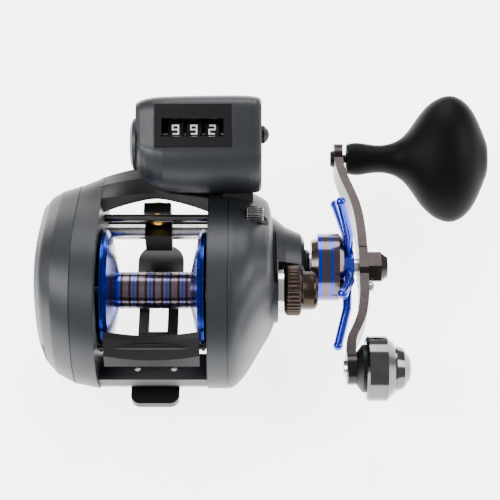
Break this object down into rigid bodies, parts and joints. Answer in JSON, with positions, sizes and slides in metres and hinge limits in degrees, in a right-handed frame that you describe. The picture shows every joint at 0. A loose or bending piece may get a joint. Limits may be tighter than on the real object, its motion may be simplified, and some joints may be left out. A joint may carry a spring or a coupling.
{
  "type": "trolling reel",
  "caption": "Low-profile bait-casting reel with a line counter, star drag, level wind, thumb-bar clutch and a counterweighted crank handle with one knob.",
  "frame": {"origin": "centre of the foot's underside, below the middle of the spool", "axes": "+X towards the handle, along the spool axis; +Y towards the rod tip; +Z away from the rod"},
  "size_m": [0.1504, 0.1151, 0.0786],
  "materials": {
    "body_paint": "satin dark grey",
    "case_paint": "satin dark grey",
    "black_plastic": "matte black",
    "foot_metal": "satin black",
    "spool_metal": "anodised gunmetal and blue",
    "steel": "bright",
    "blue_anodised": "gloss blue",
    "gunmetal": "anodised gunmetal",
    "bronze": "dark bronze",
    "brass_gear": "machined",
    "nickel": "polished nickel",
    "knob_soft": "soft black",
    "lens_clear": "clear",
    "white_plastic": "white",
    "fibre": "woven fibre",
    "gold_insert": "gold"
  },
  "bodies": {
    "reel_frame": {"frame": "body_paint", "palm_side_plate": "body_paint", "handle_side_plate": "case_paint", "gear_set_plate": "steel", "reel_foot": "foot_metal", "foot_rivets": "steel", "spool_bearing_left": "steel", "spool_bearing_right": "steel", "worm_tube": "steel", "cross_bar": "nickel", "counter_housing": "body_paint", "counter_end_case": "case_paint", "counter_neck": "body_paint", "counter_left_cap": "case_paint", "counter_bezel": "black_plastic", "counter_lens": "lens_clear", "counter_screw": "nickel", "cast_control_ring": "nickel", "antireverse_bearing": "steel", "clicker_tongue": "white_plastic", "yoke_springs": "steel", "reset_spring": "steel"},
    "handle": {"drive_shaft": "steel", "main_gear": "brass_gear", "levelwind_drive_gear": "white_plastic", "drag_washers": "fibre", "pressure_plate": "steel", "ratchet_wheel": "steel", "antireverse_sleeve": "steel", "spring_washers": "steel", "handle_arm": "gunmetal", "handle_nut": "gunmetal", "retainer_screw": "steel", "knob_post": "black_plastic", "counterweight": "nickel", "counterweight_washer": "black_plastic", "counterweight_rivet": "steel"},
    "spool": {"spool": "spool_metal", "spool_shaft": "steel", "clicker_gear": "white_plastic"},
    "thumb_bar": {"thumb_bar": "black_plastic"},
    "clutch_yoke": {"clutch_yoke": "white_plastic"},
    "pinion": {"pinion_gear": "brass_gear"},
    "knob": {"knob_grip": "knob_soft", "knob_end_cap": "black_plastic", "knob_bushes": "white_plastic"},
    "star_drag": {"star_wheel": "blue_anodised", "drag_sleeve": "gunmetal"},
    "cast_control": {"cast_control_knob": "bronze"},
    "line_guide": {"line_guide": "black_plastic", "guide_insert": "gold_insert"},
    "worm": {"worm_shaft": "steel", "worm_gear": "white_plastic"},
    "units_wheel": {"units_wheel": "black_plastic", "counter_axle": "steel"},
    "tens_wheel": {"tens_wheel": "black_plastic"},
    "hundreds_wheel": {"hundreds_wheel": "black_plastic"},
    "reset_button": {"reset_button": "black_plastic"},
    "clicker": {"clicker_button": "black_plastic"},
    "antireverse_dog": {"antireverse_dog": "steel"}
  },
  "joints": [
    {"name": "handle_crank", "type": "hinge", "parent": "reel_frame", "child": "handle", "pos_m": [0.068, 0.0149, 0.01357], "axis": [1, 0, 0], "continuous": true},
    {"name": "spool_spin", "type": "hinge", "parent": "reel_frame", "child": "spool", "pos_m": [0, 0, 0.022], "axis": [1, 0, 0], "continuous": true},
    {"name": "thumb_press", "type": "slide", "parent": "reel_frame", "child": "thumb_bar", "axis": [0, 0, -1], "range_m": [0, 0.004]},
    {"name": "yoke_slide", "type": "slide", "parent": "reel_frame", "child": "clutch_yoke", "axis": [1, 0, 0], "range_m": [0, 0.0025], "deforming": ["yoke_springs"]},
    {"name": "pinion_spin", "type": "hinge", "parent": "clutch_yoke", "child": "pinion", "pos_m": [0.03, 0, 0.022], "axis": [1, 0, 0], "continuous": true},
    {"name": "knob_spin", "type": "hinge", "parent": "handle", "child": "knob", "pos_m": [0.08, 0.0611, 0.01357], "axis": [1, 0, 0], "continuous": true},
    {"name": "star_turn", "type": "hinge", "parent": "handle", "child": "star_drag", "pos_m": [0.0632, 0.0149, 0.01357], "axis": [1, 0, 0], "range_deg": [-360, 360]},
    {"name": "cast_control_turn", "type": "hinge", "parent": "reel_frame", "child": "cast_control", "pos_m": [0.046, 0, 0.022], "axis": [1, 0, 0], "range_deg": [-360, 360]},
    {"name": "guide_traverse", "type": "slide", "parent": "reel_frame", "child": "line_guide", "axis": [1, 0, 0], "range_m": [-0.0115, 0.0115]},
    {"name": "worm_spin", "type": "hinge", "parent": "reel_frame", "child": "worm", "pos_m": [0, 0.027, 0.017], "axis": [1, 0, 0], "continuous": true},
    {"name": "units_count", "type": "hinge", "parent": "reel_frame", "child": "units_wheel", "pos_m": [0.018, 0.0408, 0.0513], "axis": [1, 0, 0], "continuous": true},
    {"name": "tens_count", "type": "hinge", "parent": "reel_frame", "child": "tens_wheel", "pos_m": [0.0128, 0.0408, 0.0513], "axis": [1, 0, 0], "continuous": true},
    {"name": "hundreds_count", "type": "hinge", "parent": "reel_frame", "child": "hundreds_wheel", "pos_m": [0.007, 0.0408, 0.0513], "axis": [1, 0, 0], "continuous": true},
    {"name": "reset_press", "type": "slide", "parent": "reel_frame", "child": "reset_button", "axis": [-1, 0, 0], "range_m": [0, 0.0015], "stiffness_N_per_m": 400, "springref_m": -0.0005, "deforming": ["reset_spring"]},
    {"name": "clicker_slide", "type": "slide", "parent": "reel_frame", "child": "clicker", "axis": [0, 0, 1], "range_m": [0, 0.002]},
    {"name": "antireverse_dog_swing", "type": "hinge", "parent": "reel_frame", "child": "antireverse_dog", "pos_m": [0.033, 0.0007, 0.01357], "axis": [1, 0, 0], "range_deg": [0, 8]}
  ],
  "couplings": [
    {"joint": "spool_spin", "follows": "handle_crank", "ratio": -5.4},
    {"joint": "pinion_spin", "follows": "handle_crank", "ratio": -5.4},
    {"joint": "worm_spin", "follows": "handle_crank", "ratio": -2.125},
    {"joint": "units_count", "follows": "handle_crank", "ratio": 0.16},
    {"joint": "tens_count", "follows": "handle_crank", "ratio": 0.016},
    {"joint": "hundreds_count", "follows": "handle_crank", "ratio": 0.0016},
    {"joint": "yoke_slide", "follows": "thumb_press", "ratio": 0.625}
  ]
}
